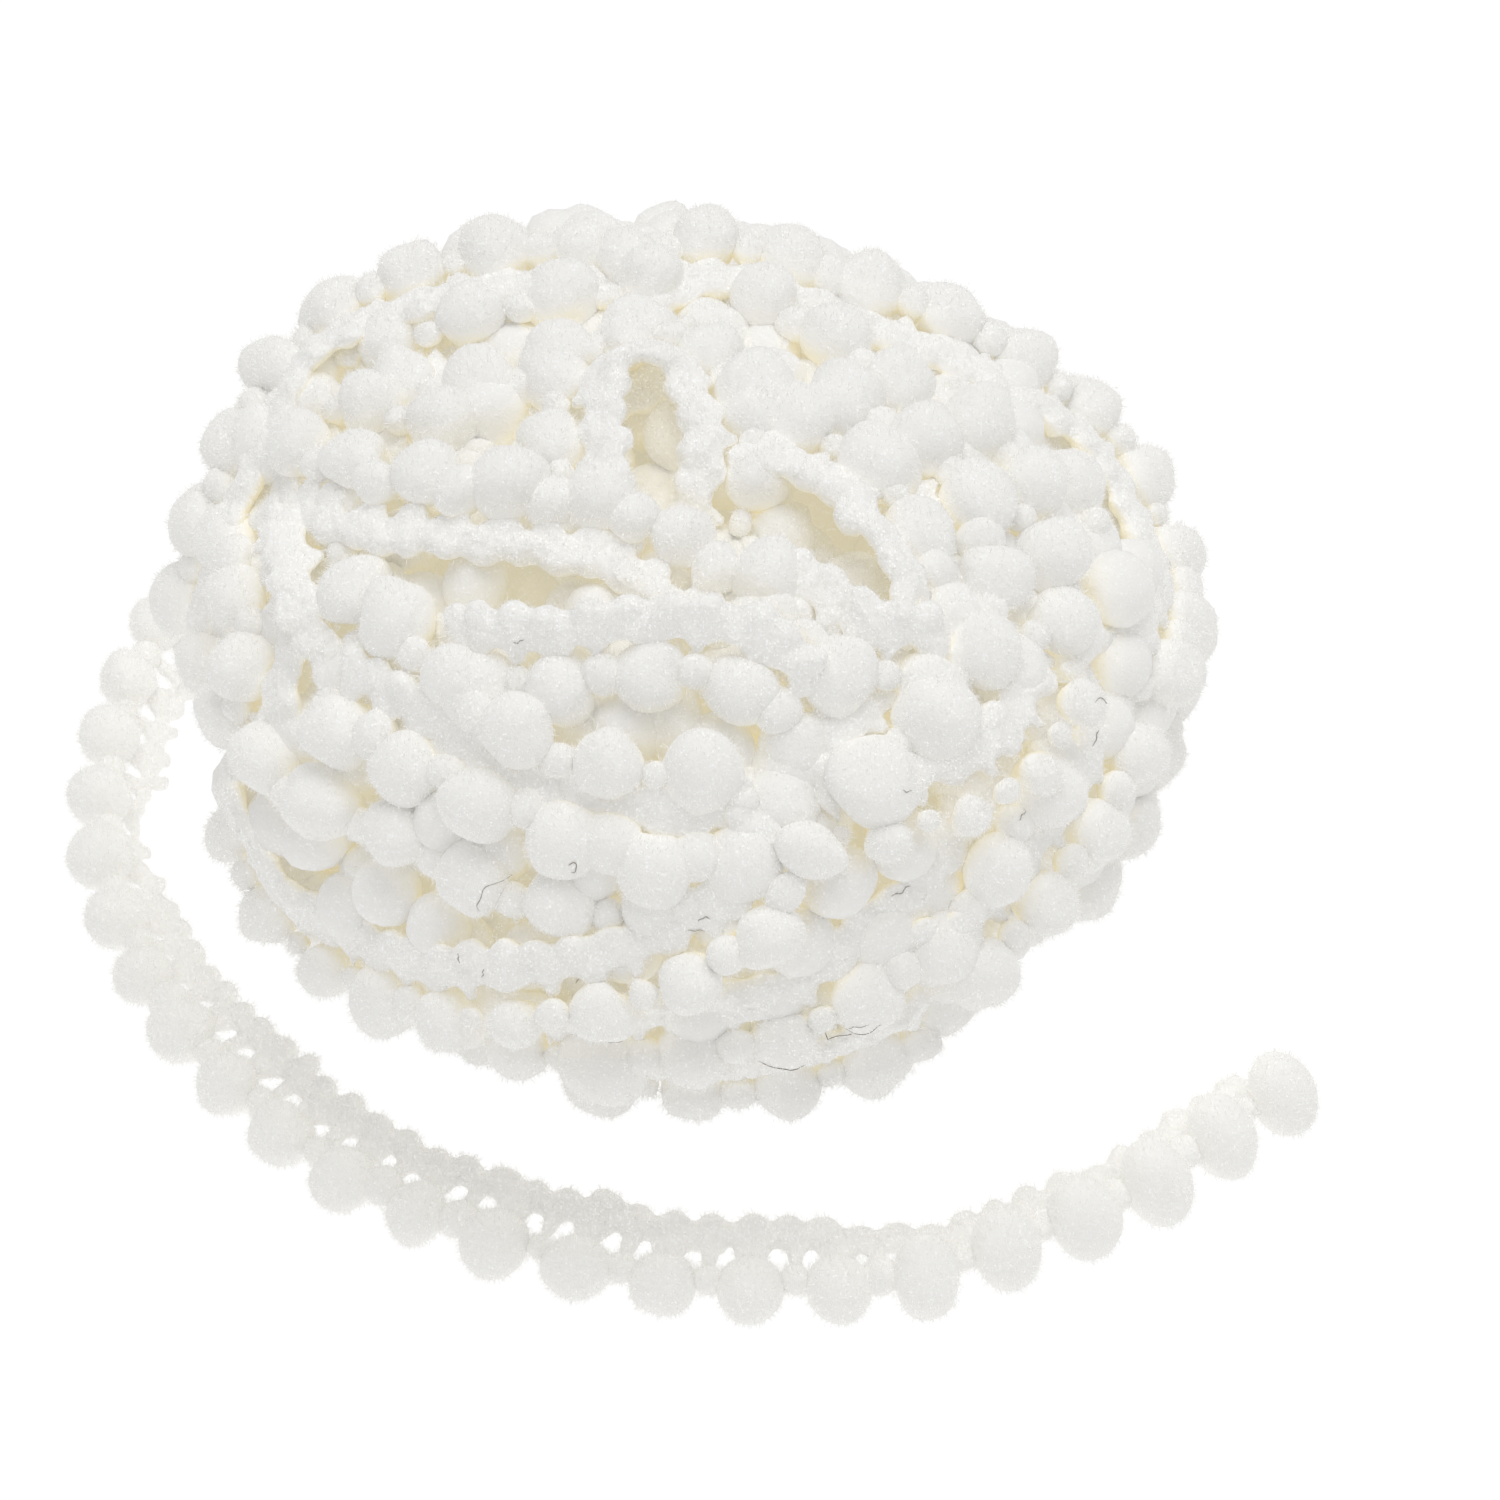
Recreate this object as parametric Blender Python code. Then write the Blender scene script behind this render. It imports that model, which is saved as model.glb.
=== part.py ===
# Pompom fringe trim: one length wound into a squat ball, its loose end laid round the front.
# Metres, +Z up. The origin is the centre of the ball's flat spot, on the surface that it stands on.

import math
from collections import namedtuple

import bmesh
import bpy
from mathutils import Vector
from mathutils.bvhtree import BVHTree
from mathutils.kdtree import KDTree

MM = 0.001

# The trim
POMPOM_R = 3.25 * MM
POMPOM_PITCH = 8.7 * MM
KNOB_R = 1.6 * MM             # the small knob between two pompoms
BRAID_OFFSET = 4.5 * MM       # from the pompom row to the middle of the braid
BRAID_HALF_WIDTH = 2.25 * MM
BRAID_HALF_THICKNESS = 0.9 * MM
SCALLOP = 0.4 * MM            # how far each scallop of the braid's outer edge stands out
BRAID_INNER = BRAID_OFFSET - 0.8 * BRAID_HALF_WIDTH     # the edge that the pompoms hang from
BRAID_EDGE_THINNING = 0.7     # half thickness there, in parts of that at the outer edge
BRAID_BALLS = (-0.7, 0.7)     # the balls that form the braid on the ball, in half widths
BRAID_BALL_R = 0.7 * BRAID_HALF_WIDTH

# The ball, measured to the centres of its outermost pompoms
BALL_RADIUS = 48.5 * MM
BALL_HALF_HEIGHT = 32.5 * MM
BALL_MIDDLE = 35.5 * MM       # height of its middle above the surface
FLAT_SPOT_R = 19.0 * MM
VALLEY_DEPTH = 2.6 * MM       # from the pompoms' centres down to the turns beneath them
MOST_POMPOMS = 270
CLEAR_OF_POMPOM = 1.7 * POMPOM_R      # no pompom's centre lies nearer to another's
CLEAR_OF_RUN = 2.2 * POMPOM_R         # and no turn comes nearer to what was laid before it
CENTRE = Vector((0.0, 0.0, BALL_MIDDLE))

# The ball's mesh points: rings round each pompom, and then what lies between
POMPOM_RINGS = (0.58, 0.92)   # in parts of the pompom's radius
RING_POINTS = 6
RING_SPACING = 0.8 * MM       # least distances between points: on pompoms,
BRAID_SPACING = 1.4 * MM      # on the braid,
FILLER_SPACING = 2.3 * MM     # between them,
RIM_SPACING = 0.5 * MM        # round the flat spot,
LEAST_SPACING = 0.6 * MM      # and anywhere
FILLER_POINTS = 3600          # points tried between them
RIM_POINTS = 16
RIM_R = 0.96 * FLAT_SPOT_R

# The loose end
SEAT_GAP = 0.3 * MM           # between the start of the loose end and the ball
START_BEARING = 127           # where it leaves the ball, in degrees round from +X
SECTIONS_PER_PITCH = 6
ROW_SIDES = 8                 # points round the pompoms in a section

# Where the winding bulges or sinks: direction in degrees, reach in degrees, height in mm.
Swell = namedtuple("Swell", "longitude latitude reach height")
SWELLS = (
    Swell(130, 15, 42, 4.0),
    Swell(325, -45, 35, -2.5),
    Swell(50, 35, 30, -1.0),
    Swell(215, -25, 28, 2.5),
    Swell(275, -35, 32, 1.5),
    Swell(290, 82, 30, -2.0),
    Swell(0, -90, 36, 3.0),
)

# The runs of trim that lie outermost. The braid lies to the left (1) or right (-1) of the pompom
# row, and leans out of the ball's face by so many degrees. Each point of the row's route is
# (longitude, latitude, lift in mm).
Run = namedtuple("Run", "name side lean route")
RUNS = (
    Run("rim_left", -1, -10, ((179, 6, 1.5), (172, 24, 2), (155, 36, 3.5), (138, 50, 3), (116, 59, 1.5))),
    Run("rim_back", -1, -20, ((108, 63, 1), (89, 60, 2), (58, 56, 0.5), (35, 44, 0), (20, 22, 0),
                              (2, 7, 0), (347, 10, -0.5))),
    Run("rim_right", -1, -20, ((334, 9, -1), (323, 4, -0.5), (312, 2, 0.5), (302, -2, 2))),
    Run("shoulder", -1, -40, ((168, 29, 1), (158, 40, 1), (152, 54, 1), (136, 63, 1), (104, 67, 0.5))),
    Run("second", -1, -50, ((69, 68, 0), (36, 68, 0), (11, 64, 0), (5, 56, 0), (357, 49, 0),
                            (345, 47, 0), (340, 37, -1), (328, 38, 0))),
    Run("inner", -1, -40, ((163, 52, -1), (164, 66, -1), (146, 72, 0), (98, 74, -0.5))),
    Run("loop", -1, 40, ((189, 74, -0.5), (148, 74, -0.5), (110, 74, -0.5), (73, 81, -0.5),
                         (298, 83, -0.5))),
    Run("third", -1, -30, ((22, 83, 0), (7, 72, 0), (350, 58, 0), (329, 47, 0), (317, 43, 1),
                           (304, 39, 1), (294, 35, 1))),
    Run("fold", -1, 10, ((355, 78, 0), (341, 67, 0), (330, 61, 0), (324, 54, -1), (320, 49, -2))),
    Run("deep", 1, -40, ((318, 84, -6), (309, 71, -6), (315, 63, -6), (313, 55, -5))),
    Run("crossing", -1, 25, ((170, 39, 2), (179, 52, 2), (200, 66, 2.5), (222, 69, 2.5),
                             (250, 73, 2.5), (279, 70, 1), (296, 62, 0))),
    Run("valley", 1, 20, ((285, 59, -1), (295, 49, 1), (307, 43, 0))),
    Run("upright", -1, 30, ((189, 45, -1), (206, 43, 0))),
    Run("flank", 1, -20, ((181, 24, 1), (199, 24, 1), (201, 15, 0))),
    Run("saddle", -1, -30, ((217, 45, 1), (233, 44, 2), (245, 41, 2), (256, 40, 1.5), (267, 41, 1),
                            (277, 37, 0))),
    Run("crest", 1, 15, ((235, 44, 0), (248, 48, 0.5), (259, 51, 1), (275, 51, 1), (282, 46, 0))),
    Run("spread", 1, 10, ((219, 28, 0), (233, 30, 0), (245, 30, 0), (257, 28, 0), (268, 26, 0),
                          (276, 27, -1))),
    Run("belly", -1, -60, ((190, 8, 0), (211, 14, 0), (221, 16, 0), (233, 19, 0), (244, 18, 0),
                           (256, 18, 0), (265, 20, -1))),
    Run("low_band", 1, 10, ((205, -11, 0.5), (215, -17, 1.5), (221, -20, 1), (230, -17, 0.5),
                            (242, -9, 1), (252, -1, 1), (262, 4, 1), (271, 10, 1), (279, 17, 1),
                            (284, 28, 1))),
    Run("skirt", 1, -30, ((249, -17, 0), (259, -16, 0), (270, -11, 0), (281, -8, 0), (292, 1, 0),
                          (301, 6, 0), (308, 16, 0), (316, 21, 0))),
    Run("hem", 1, -30, ((258, -28, 0.5), (265, -28, 0.5), (275, -27, 1), (286, -25, 1.5), (297, -22, 2))),
)

# The turns that cover the rest of the ball: the latitude of each, the degrees by which it climbs
# towards a longitude, and its lift in mm. Longitude and latitude are those of an ellipsoid's
# parameters, and a lift is measured along its outward direction.
Turn = namedtuple("Turn", "latitude tilt toward lift")
TURNS = (
    Turn(-14, 8, 100, 0.5),
    Turn(3, 7, 60, 0.0),
    Turn(20, 7, 120, 0.5),
    Turn(36, 6, 80, -0.5),
    Turn(50, 6, 20, -0.5),
    Turn(64, 5, 100, -1.0),
    Turn(78, 3, 60, -2.0),
    Turn(-30, 6, 40, 0.0),
    Turn(-45, 5, 130, 0.0),
    Turn(-59, 3, 70, 0.0),
    Turn(-72, 2, 70, 0.0),
)

# The pompom row of the loose end, laid on the surface: x and y in mm, and the angle in degrees at
# which the braid leans down from the pompoms' middles to the surface behind them.
Laid = namedtuple("Laid", "x y roll")
LOOSE_END = (
    Laid(-38, 41.5, -28),
    Laid(-50, 41.0, -28),
    Laid(-59.8, 32.2, -28),
    Laid(-63.8, 14.0, -28),
    Laid(-62.8, -2.0, -28),
    Laid(-57.8, -16.5, -26),
    Laid(-48.0, -31.0, -24),
    Laid(-36.0, -42.9, -22),
    Laid(-21.4, -50.6, -18),
    Laid(-5.0, -55.6, -14),
    Laid(11.7, -57.0, -14),
    Laid(28.5, -53.2, -22),
    Laid(44.4, -44.8, -24),
    Laid(58.0, -33.4, -24),
)


def clear_scene():
    for obj in list(bpy.data.objects):
        bpy.data.objects.remove(obj, do_unlink=True)


def chenille():
    """White polyester microfibre chenille, matt and soft."""
    material = bpy.data.materials.new("microfibre_chenille")
    material.use_nodes = True
    shader = material.node_tree.nodes["Principled BSDF"]
    shader.inputs["Base Color"].default_value = (0.88, 0.87, 0.83, 1.0)
    shader.inputs["Roughness"].default_value = 0.95
    shader.inputs["Metallic"].default_value = 0.0
    return material


def direction(longitude, latitude):
    lon = math.radians(longitude)
    lat = math.radians(latitude)
    return Vector((math.cos(lat) * math.cos(lon), math.cos(lat) * math.sin(lon), math.sin(lat)))


def scaled(vector, power):
    """A vector with its parts multiplied by the ball's half sizes to a power."""
    wide = BALL_RADIUS ** power
    return Vector((vector.x * wide, vector.y * wide, vector.z * BALL_HALF_HEIGHT ** power))


def outward(spot):
    """The outward direction of the ball at a spot, given as a unit vector of its parameters."""
    return scaled(spot, -1).normalized()


def swell_at(spot):
    total = 0.0
    for swell in SWELLS:
        angle = math.degrees(spot.angle(direction(swell.longitude, swell.latitude)))
        total += swell.height * MM * math.exp(-(angle / swell.reach) ** 2)
    return total


def lifted(spot, lift):
    """The point over a spot of the ball, so far above its outermost pompoms' centres."""
    return CENTRE + scaled(spot, 1) + outward(spot) * (swell_at(spot) + lift)


def on_ball(longitude, latitude, lift):
    return lifted(direction(longitude, latitude), lift * MM)


def spot_under(point):
    """The spot of the ball whose outward direction passes through a point."""
    arm = point - CENTRE
    spot = scaled(arm, -1).normalized()
    for _ in range(8):
        out = outward(spot)
        height = (arm - scaled(spot, 1)).dot(out)
        spot = scaled(arm - out * height, -1).normalized()
    return spot


def smooth_route(points, steps=16):
    """A Catmull-Rom curve through points of any dimension, as a list of tuples."""
    ends = [tuple(2 * a - b for a, b in zip(points[0], points[1]))]
    ends += [tuple(point) for point in points]
    ends.append(tuple(2 * a - b for a, b in zip(points[-1], points[-2])))
    curve = []
    for i in range(1, len(ends) - 2):
        for step in range(steps):
            t = step / steps
            curve.append(tuple(
                0.5 * (2 * b + (c - a) * t + (2 * a - 5 * b + 4 * c - d) * t ** 2
                       + (3 * b - a - 3 * c + d) * t ** 3)
                for a, b, c, d in zip(*ends[i - 1:i + 3])))
    curve.append(ends[-2])
    return curve


def along(curve, spacing):
    """Points at an even spacing along a curve, near to the one asked for, with their directions."""
    points = [Vector(point[:3]) for point in curve]
    reached = [0.0]
    for a, b in zip(points, points[1:]):
        reached.append(reached[-1] + (b - a).length)
    count = max(1, round(reached[-1] / spacing))
    placed = []
    leg = 0
    for i in range(count + 1):
        distance = reached[-1] * i / count
        while leg < len(points) - 2 and reached[leg + 1] < distance:
            leg += 1
        part = (distance - reached[leg]) / max(reached[leg + 1] - reached[leg], 1e-9)
        heading = (points[leg + 1] - points[leg]).normalized()
        placed.append((points[leg].lerp(points[leg + 1], part), heading))
    return placed


def braid_beside(point, heading, side, lean):
    """The direction in which the braid lies beside a point of a pompom row."""
    out = outward(spot_under(point))
    across = out.cross(heading).normalized() * side
    return across * math.cos(math.radians(lean)) + out * math.sin(math.radians(lean))


def turn_point(turn, bearing):
    """A point of a tilted turn round the ball."""
    latitude = turn.latitude + turn.tilt * math.cos(math.radians(bearing - turn.toward))
    return on_ball(bearing, latitude, turn.lift)


def clear_of(point, others, distance):
    return all((point - other).length > distance for other in others)


def trim_spheres(curve, side, lean, pompoms):
    """The spheres that make up a stretch of trim, as (centre, radius): pompoms, knobs and braid."""
    stations = along(curve, POMPOM_PITCH / 2)
    for i, (point, heading) in enumerate(stations):
        size = KNOB_R if i % 2 else POMPOM_R
        if not i % 2:
            if len(pompoms) >= MOST_POMPOMS or not clear_of(point, pompoms, CLEAR_OF_POMPOM):
                continue
            pompoms.append(point)
        yield point, size
        beside = braid_beside(point, heading, side, lean)
        for part in BRAID_BALLS:
            yield point + beside * (BRAID_OFFSET + part * BRAID_HALF_WIDTH), BRAID_BALL_R


def clear_stretches(turn, laid):
    """The stretches of a turn that lie clear of the pompoms laid before it."""
    stretches = [[]]
    for bearing in range(0, 362, 2):
        point = turn_point(turn, bearing)
        if clear_of(point, laid, CLEAR_OF_RUN):
            stretches[-1].append(tuple(point))
        elif stretches[-1]:
            stretches.append([])
    return [stretch for stretch in stretches if len(stretch) > 1]


def wind_ball():
    """The spheres of all the trim on the ball, the hand-laid runs first."""
    pompoms = []
    spheres = []
    for run in RUNS:
        curve = smooth_route([on_ball(*stop) for stop in run.route])
        spheres += trim_spheres(curve, run.side, run.lean, pompoms)
    for turn in TURNS:
        for stretch in clear_stretches(turn, list(pompoms)):
            spheres += trim_spheres(stretch, -1, -30, pompoms)
    return spheres, len(pompoms)


def height_finder(spheres):
    """A function that gives the height of the ball's surface over a spot."""
    tree = KDTree(len(spheres))
    for i, (point, _) in enumerate(spheres):
        tree.insert(point, i)
    tree.balance()

    def height(spot):
        out = outward(spot)
        foot = CENTRE + scaled(spot, 1)
        top = swell_at(spot) - VALLEY_DEPTH
        for point, i, _ in tree.find_range(foot + out * swell_at(spot), 3 * POMPOM_R):
            size = spheres[i][1]
            arm = point - foot
            rise = arm.dot(out)
            off_squared = arm.length_squared - rise ** 2
            if off_squared < size ** 2:
                top = max(top, rise + math.sqrt(size ** 2 - off_squared))
        if out.z < 0.0:
            to_floor = foot.z / -out.z
            in_flat_spot = (foot + out * to_floor).xy.length < FLAT_SPOT_R
            top = to_floor if in_flat_spot else min(top, to_floor)
        return top

    return height


def ring_round(point, size, count):
    """Points of a ring round a sphere's middle, seen from outside the ball."""
    out = outward(spot_under(point))
    side = out.orthogonal().normalized()
    other = out.cross(side)
    for i in range(count):
        angle = math.tau * i / count
        yield point + (side * math.cos(angle) + other * math.sin(angle)) * size


def ball_spots(spheres):
    """The spots of the ball's mesh points: tops and rings of pompoms, then the rest."""
    pompoms = [point for point, size in spheres if size == POMPOM_R]
    others = [point for point, size in spheres if size != POMPOM_R]
    wanted = [(point, 0.0) for point in pompoms]
    for size in POMPOM_RINGS:
        for point in pompoms:
            ring = ring_round(point, POMPOM_R * size, RING_POINTS)
            wanted += [(near, RING_SPACING) for near in ring]
    wanted += [(point, BRAID_SPACING) for point in others]
    for i in range(RIM_POINTS):
        angle = math.tau * i / RIM_POINTS
        wanted.append((Vector((math.cos(angle), math.sin(angle), 0.0)) * RIM_R, RIM_SPACING))
    golden = math.pi * (3 - math.sqrt(5))
    for i in range(FILLER_POINTS):
        height = 1 - (2 * i + 1) / FILLER_POINTS
        wide = math.sqrt(1 - height ** 2)
        spot = Vector((wide * math.cos(golden * i), wide * math.sin(golden * i), height))
        wanted.append((lifted(spot, 0.0), FILLER_SPACING))

    kept = []
    cells = {}
    for point, spacing in wanted:
        spot = spot_under(point)
        ground = lifted(spot, 0.0)
        cell = tuple(math.floor(value / FILLER_SPACING) for value in ground)
        near = [other for dx in (-1, 0, 1) for dy in (-1, 0, 1) for dz in (-1, 0, 1)
                for other in cells.get((cell[0] + dx, cell[1] + dy, cell[2] + dz), ())]
        if clear_of(ground, near, max(spacing, LEAST_SPACING)):
            cells.setdefault(cell, []).append(ground)
            kept.append(spot)
    return kept


def add_object(name, mesh, material):
    mesh.materials.append(material)
    obj = bpy.data.objects.new(name, mesh)
    bpy.context.scene.collection.objects.link(obj)
    return obj


def make_ball(material):
    spheres, pompoms = wind_ball()
    height = height_finder(spheres)
    work = bmesh.new()
    for spot in ball_spots(spheres):
        work.verts.new(spot)
    bmesh.ops.convex_hull(work, input=work.verts)
    loose = [vert for vert in work.verts if not vert.link_faces]
    bmesh.ops.delete(work, geom=loose, context="VERTS")
    for vert in work.verts:
        spot = vert.co.normalized()
        vert.co = CENTRE + scaled(spot, 1) + outward(spot) * height(spot)
        if vert.co.z < 0.01 * MM:
            vert.co.z = 0.0
    bmesh.ops.recalc_face_normals(work, faces=work.faces)
    mesh = bpy.data.meshes.new("wound_ball")
    work.to_mesh(mesh)
    work.free()
    mesh.shade_smooth()
    print("ball:", pompoms, "pompoms,", len(mesh.polygons), "triangles")
    return add_object("wound_ball", mesh, material)


def section(point, heading, roll, phase):
    """The trim's outline across its length: pompom or knob on one side, braid on the other.

    phase runs from 0 at a pompom's middle to 1 at the next one's."""
    from_pompom = min(phase, 1 - phase) * POMPOM_PITCH
    row_radius = math.sqrt(max(POMPOM_R ** 2 - from_pompom ** 2, KNOB_R ** 2))
    to_left = Vector((-heading.y, heading.x, 0.0)).normalized()
    up = Vector((0.0, 0.0, 1.0))
    turn = math.radians(roll)
    across = to_left * math.cos(turn) + up * math.sin(turn)
    above = up * math.cos(turn) - to_left * math.sin(turn)
    middle = Vector((point.x, point.y, POMPOM_R - 0.05 * MM))

    outline = []
    for i in range(ROW_SIDES):
        angle = math.radians(40 + 280 * i / (ROW_SIDES - 1))
        outline.append((row_radius * math.cos(angle), row_radius * math.sin(angle)))
    edge = BRAID_OFFSET + BRAID_HALF_WIDTH + SCALLOP * abs(math.cos(math.tau * phase))
    thick = BRAID_HALF_THICKNESS
    thin = thick * BRAID_EDGE_THINNING
    outline += [(BRAID_INNER, -thin), (edge - thick, -thick), (edge, 0.0),
                (edge - thick, thick), (BRAID_INNER, thin)]
    corners = [middle + across * x + above * y for x, y in outline]
    for corner in corners:
        corner.z = max(corner.z, 0.0)
    return corners


def lay_trim(route):
    """The sections of the loose end along its route."""
    curve = smooth_route(route)
    points = along(curve, POMPOM_PITCH / SECTIONS_PER_PITCH)
    pitches = round((len(points) - 1) / SECTIONS_PER_PITCH)
    steps = pitches * SECTIONS_PER_PITCH
    stations = along(curve, sum((b[0] - a[0]).length for a, b in zip(points, points[1:])) / steps)
    rolls = [value[3] for value in curve]
    sections = []
    for i, (point, heading) in enumerate(stations):
        roll = rolls[round(i * (len(rolls) - 1) / steps)]
        phase = (i + 0.5) / SECTIONS_PER_PITCH % 1.0
        sections.append(section(point, heading, roll, phase))
    return sections


def seated_route(ball):
    """The loose end's route, with its start brought up to the ball."""
    tree = BVHTree.FromPolygons([vert.co for vert in ball.data.vertices],
                                [tuple(face.vertices) for face in ball.data.polygons])
    rest = [(stop.x * MM, stop.y * MM, 0.0, stop.roll) for stop in LOOSE_END]
    bearing = math.radians(START_BEARING)
    radius = 48.0 * MM
    route = rest
    while radius > FLAT_SPOT_R:
        start = (radius * math.cos(bearing), radius * math.sin(bearing), 0.0, rest[0][3])
        sections = lay_trim([start] + rest)
        gap = min(tree.find_nearest(corner)[3] for part in sections[:12] for corner in part)
        if gap < SEAT_GAP * 1.05:
            break
        route = [start] + rest
        radius -= max(0.05 * MM, 0.5 * (gap - SEAT_GAP))
    return route


def make_loose_end(ball, material):
    sections = lay_trim(seated_route(ball))
    work = bmesh.new()
    rings = [[work.verts.new(corner) for corner in part] for part in sections]
    sides = len(rings[0])
    for first, second in zip(rings, rings[1:]):
        for i in range(sides):
            j = (i + 1) % sides
            work.faces.new((first[i], first[j], second[j], second[i]))
    work.faces.new(rings[0])
    work.faces.new(rings[-1][::-1])
    bmesh.ops.recalc_face_normals(work, faces=work.faces)
    bmesh.ops.triangulate(work, faces=work.faces)
    mesh = bpy.data.meshes.new("loose_end")
    work.to_mesh(mesh)
    work.free()
    mesh.shade_smooth()
    print("loose end:", round((len(sections) - 1) / SECTIONS_PER_PITCH), "pompoms,",
          len(mesh.polygons), "triangles")
    return add_object("loose_end", mesh, material)


def main():
    clear_scene()
    material = chenille()
    ball = make_ball(material)
    make_loose_end(ball, material)


main()
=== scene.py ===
# Pompom fringe trim in white microfibre: a wound ball and the loose end laid round its front.
# Sizes are millimetres and degrees; a mesh turns them to metres as it is made.

import math
import time

import bpy
import numpy as np
from mathutils.bvhtree import BVHTree
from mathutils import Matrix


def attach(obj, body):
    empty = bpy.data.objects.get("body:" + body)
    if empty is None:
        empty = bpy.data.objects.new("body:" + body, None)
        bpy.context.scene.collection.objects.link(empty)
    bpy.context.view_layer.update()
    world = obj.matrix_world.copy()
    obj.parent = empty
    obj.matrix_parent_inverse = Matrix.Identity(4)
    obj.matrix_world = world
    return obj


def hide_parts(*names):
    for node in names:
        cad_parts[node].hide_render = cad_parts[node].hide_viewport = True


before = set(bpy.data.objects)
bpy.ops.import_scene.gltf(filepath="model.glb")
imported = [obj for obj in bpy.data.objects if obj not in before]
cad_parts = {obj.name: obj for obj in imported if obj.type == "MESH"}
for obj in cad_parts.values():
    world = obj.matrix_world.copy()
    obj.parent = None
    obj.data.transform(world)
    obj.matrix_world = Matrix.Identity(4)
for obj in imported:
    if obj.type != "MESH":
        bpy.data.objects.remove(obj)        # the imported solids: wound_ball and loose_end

startTime = time.time()
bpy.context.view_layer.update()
dice = np.random.default_rng(20)
metre = 0.001


def report(*words):
    print("scene:", *words, "-", round(time.time() - startTime, 1), "s")


# ---- small tools for points and curves

def unit(vectors):
    return vectors / np.maximum(np.linalg.norm(vectors, axis=-1, keepdims=True), 1e-9)


def smoothRoute(stops, steps=16):      # a Catmull-Rom curve through rows of numbers
    stops = np.asarray(stops, float)
    ends = np.vstack([2 * stops[0] - stops[1], stops, 2 * stops[-1] - stops[-2]])
    t = np.linspace(0, 1, steps, endpoint=False)[:, None]
    legs = []
    for a, b, c, d in zip(ends[:-3], ends[1:-2], ends[2:-1], ends[3:]):
        legs.append(0.5 * (2 * b + (c - a) * t + (2 * a - 5 * b + 4 * c - d) * t ** 2
                           + (3 * b - a - 3 * c + d) * t ** 3))
    return np.vstack(legs + [stops[-1:]])


def reachedAlong(curve):
    legs = np.linalg.norm(np.diff(curve[:, :3], axis=0), axis=1)
    return np.concatenate([[0.0], np.cumsum(legs)])


def readAt(curve, distances):          # every column of a curve, read at distances along it
    reached = reachedAlong(curve)
    return np.stack([np.interp(distances, reached, column) for column in curve.T], axis=1)


def headings(points):
    return unit(np.gradient(points, axis=0))


def smoothed(values, reach):           # a running mean, twice over, with its ends held
    for _ in range(2):
        padded = np.pad(values, reach, mode="edge")
        values = np.convolve(padded, np.ones(2 * reach + 1) / (2 * reach + 1), mode="valid")
    return values


def wander(count, reach, size):        # a slow random drift along a row
    return smoothed(dice.normal(0, 1, count), reach) * size * math.sqrt(reach)


# ---- the trim itself

trim = {
    "pitch": 8.7,              # from pompom to pompom
    "pomRadius": 3.4,          # the pompoms
    "pomShape": (1.02, 1.03, 0.96),      # along the row, towards the braid and upwards
    "pomSpread": 0.06,         # how much they differ in radius
    "knobRadius": 1.65,        # and those of the knobs between them
    "knobShape": (1.05, 1.0, 0.95),
    "knobSpread": 0.16,
    "knobShift": 0.9,          # how far the knobs sit towards the braid
    "knobRise": (0.45, 0.3),   # how far they stand up from the row, and how much that differs
    "cordKnob": (0.5, 1.3),    # further shift and larger size of the knobs on a cord row
    # what ties the row to the braid: distance from the row, half sizes, turn, step along the row
    "ties": {"pomNeck": (4.2, (1.9, 1.6, 0.85), 0, 0), "knobNeck": (3.8, (0.95, 1.9, 0.8), 0, 0),
             "leftStrand": (3.9, (0.75, 2.4, 0.75), 26, -0.85),
             "rightStrand": (3.9, (0.75, 2.4, 0.75), -26, 0.85)},
    "braidInner": 3.8,         # from the pompom row to the braid's inner edge
    "openBy": 1.2,             # and further where the gaps are wide
    "braidOuter": 7.6,         # and to its outer edge, where the pearls of the scallop sit
    "braidHalf": 0.6,          # half the thickness of the braid's web
    # how its edges and thickness drift: over how many steps, and how far
    "braidDrift": {"inner": (4, 0.15), "outer": (6, 0.2), "thickness": (2, 0.16)},
    # rows of stitches on the braid: pitch, distance from the pompoms, rise, half sizes, turn
    "pearls": (3.6, 7.0, 0.3, (1.7, 1.45, 1.4), 0),
    "stitches": [(1.9, 6.0, 0.25, (1.15, 0.7, 1.0), 28), (2.2, 5.2, 0.2, (1.2, 0.6, 1.0), -20)],
    "innerStitches": (2.0, 4.4, 0.2, (1.15, 0.65, 0.95), 24),
    "stitchSizes": (0.78, 1.2),          # smallest and largest, against those half sizes
    "stitchStrays": (0.14, 0.25),        # how far a stitch strays across the braid and upwards
    "squashed": 0.06,          # how far each pompom is from round
    # how lumpy the surface of each kind is, how many waves make the lumps, and how close they are
    "lumps": {"front": 0.085, "back": 0.07, "loose": 0.045, "pearls": 0.08, "stitches": 0.05,
              "stuffed": 0.05},
    "waves": 7,
    "waveRates": (1.5, 6.0),
    # quads along each side of a blob: pompoms and knobs together, and the others
    "detail": {"front": (6, 4), "back": (5, 3), "loose": (8, 5), "pearls": 3, "ties": 3,
               "stitches": 2, "stuffed": 4},
    "runTogether": 0.85,       # how far the pile of touching pompoms hides the line between them
    "stepsPerPitch": 12,       # steps in which a row is followed
}
openRows = {"crossing", "spread", "looseEnd"}      # rows with wide gaps beside their pompoms
cordRows = {"crossing", "spread"}      # rows whose braid is drawn out to a cord on strands

# ---- the form that the ball is wound to

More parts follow.
